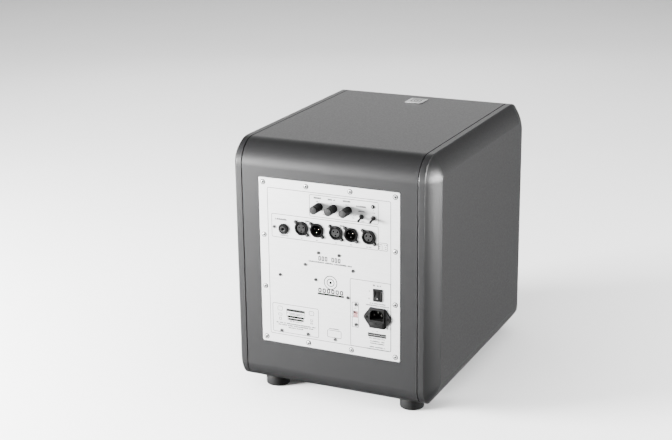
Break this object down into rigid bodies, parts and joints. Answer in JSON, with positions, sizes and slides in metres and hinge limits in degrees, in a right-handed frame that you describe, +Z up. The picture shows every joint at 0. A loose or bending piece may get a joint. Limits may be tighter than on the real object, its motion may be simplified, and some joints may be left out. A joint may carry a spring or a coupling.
{
  "type": "powered subwoofer",
  "caption": "Powered slot-port subwoofer cabinet with crowned side panels, a long-throw driver and a rear amplifier plate with sockets and controls.",
  "frame": {"origin": "on the floor, below the middle of the whole object's box", "axes": "+Z up, -Y out of the driver, +Y out of the amplifier plate"},
  "size_m": [0.395, 0.53, 0.4771],
  "materials": {
    "cabinet_paint": "satin dark grey paint with fine speckle on fibreboard",
    "shelf_board": "matt dark paint on fibreboard",
    "foot_rubber": "matt",
    "badge_metal": "satin",
    "ring_rubber": "satin",
    "basket_casting": "satin black coating",
    "screw_black": "satin black",
    "plate_screw_steel": "bright plated",
    "cone_paper": "speckled grey coating",
    "dome_plastic": "satin gloss black",
    "winding": "enamelled wire",
    "spider_cloth": "impregnated cloth",
    "plain_steel": "plated",
    "ferrite": "matt dark grey",
    "plate_aluminium": "fine brushed, printed with thin dark lines",
    "circuit_laminate": "lacquered",
    "black_plastic": "satin",
    "lever_steel": "polished",
    "selector_plastic": "matt"
  },
  "bodies": {
    "cabinet": {"cabinet_wrap": "cabinet_paint", "side_panel_left": "cabinet_paint", "side_panel_right": "cabinet_paint", "port_shelf": "shelf_board", "foot_front_left": "foot_rubber", "foot_front_right": "foot_rubber", "foot_rear_left": "foot_rubber", "foot_rear_right": "foot_rubber", "top_badge": "badge_metal", "driver_trim_ring": "ring_rubber", "driver_basket": "basket_casting", "driver_screw_1": "screw_black", "driver_screw_2": "screw_black", "driver_screw_3": "screw_black", "driver_screw_4": "screw_black", "driver_screw_5": "screw_black", "driver_screw_6": "screw_black", "driver_screw_7": "screw_black", "driver_screw_8": "screw_black", "surround": "ring_rubber", "spider": "spider_cloth", "magnet_top_plate": "plain_steel", "magnet": "ferrite", "magnet_yoke": "plain_steel", "amp_plate": "plate_aluminium", "plate_screw_1": "plate_screw_steel", "plate_screw_2": "plate_screw_steel", "plate_screw_3": "plate_screw_steel", "plate_screw_4": "plate_screw_steel", "plate_screw_5": "plate_screw_steel", "plate_screw_6": "plate_screw_steel", "plate_screw_7": "plate_screw_steel", "plate_screw_8": "plate_screw_steel", "plate_screw_9": "plate_screw_steel", "plate_screw_10": "plate_screw_steel", "plate_screw_11": "plate_screw_steel", "plate_screw_12": "plate_screw_steel", "amp_chassis": "plain_steel", "circuit_board": "circuit_laminate", "transformer": "winding", "toggle_block": "black_plastic", "xlr_input_right": "black_plastic", "xlr_output_right": "black_plastic", "xlr_input_left": "black_plastic", "xlr_output_left": "black_plastic", "xlr_sub_input": "black_plastic", "jack_socket": "black_plastic", "rocker_frame": "black_plastic", "mains_inlet": "black_plastic"},
    "moving_cone": {"cone": "cone_paper", "dust_cap": "dome_plastic", "voice_coil": "winding"},
    "level_control": {"level_knob": "black_plastic"},
    "low_pass_control": {"low_pass_knob": "black_plastic"},
    "phase_control": {"phase_knob": "black_plastic"},
    "polarity_lever": {"polarity_toggle_lever": "lever_steel"},
    "mute_lever": {"mute_toggle_lever": "lever_steel"},
    "mains_paddle": {"rocker_paddle": "black_plastic"},
    "fuse_holder": {"fuse_drawer": "black_plastic"},
    "voltage_selector": {"voltage_slider": "selector_plastic"}
  },
  "joints": [
    {"name": "cone_excursion", "type": "slide", "parent": "cabinet", "child": "moving_cone", "axis": [0, -1, 0], "range_m": [-0.008, 0.008], "stiffness_N_per_m": 2500},
    {"name": "level_knob_turn", "type": "hinge", "parent": "cabinet", "child": "level_control", "pos_m": [0.0166, 0.23995, 0.3723], "axis": [0, -1, 0], "range_deg": [-150, 150]},
    {"name": "low_pass_knob_turn", "type": "hinge", "parent": "cabinet", "child": "low_pass_control", "pos_m": [-0.0112, 0.23995, 0.3723], "axis": [0, -1, 0], "range_deg": [-150, 150]},
    {"name": "phase_knob_turn", "type": "hinge", "parent": "cabinet", "child": "phase_control", "pos_m": [-0.0388, 0.23995, 0.3723], "axis": [0, -1, 0], "range_deg": [-150, 150]},
    {"name": "polarity_toggle_tilt", "type": "hinge", "parent": "cabinet", "child": "polarity_lever", "pos_m": [-0.0636, 0.23865, 0.3636], "axis": [1, 0, 0], "range_deg": [0, 30]},
    {"name": "mute_toggle_tilt", "type": "hinge", "parent": "cabinet", "child": "mute_lever", "pos_m": [-0.0856, 0.23865, 0.3636], "axis": [1, 0, 0], "range_deg": [0, 30]},
    {"name": "mains_rocker_tilt", "type": "hinge", "parent": "cabinet", "child": "mains_paddle", "pos_m": [-0.093, 0.23815, 0.2246], "axis": [-1, 0, 0], "range_deg": [0, 13]},
    {"name": "fuse_drawer_slide", "type": "slide", "parent": "cabinet", "child": "fuse_holder", "axis": [0, 1, 0], "range_m": [0, 0.018]},
    {"name": "voltage_slider_slide", "type": "slide", "parent": "cabinet", "child": "voltage_selector", "axis": [0, 0, 1], "range_m": [0, 0.004]}
  ]
}
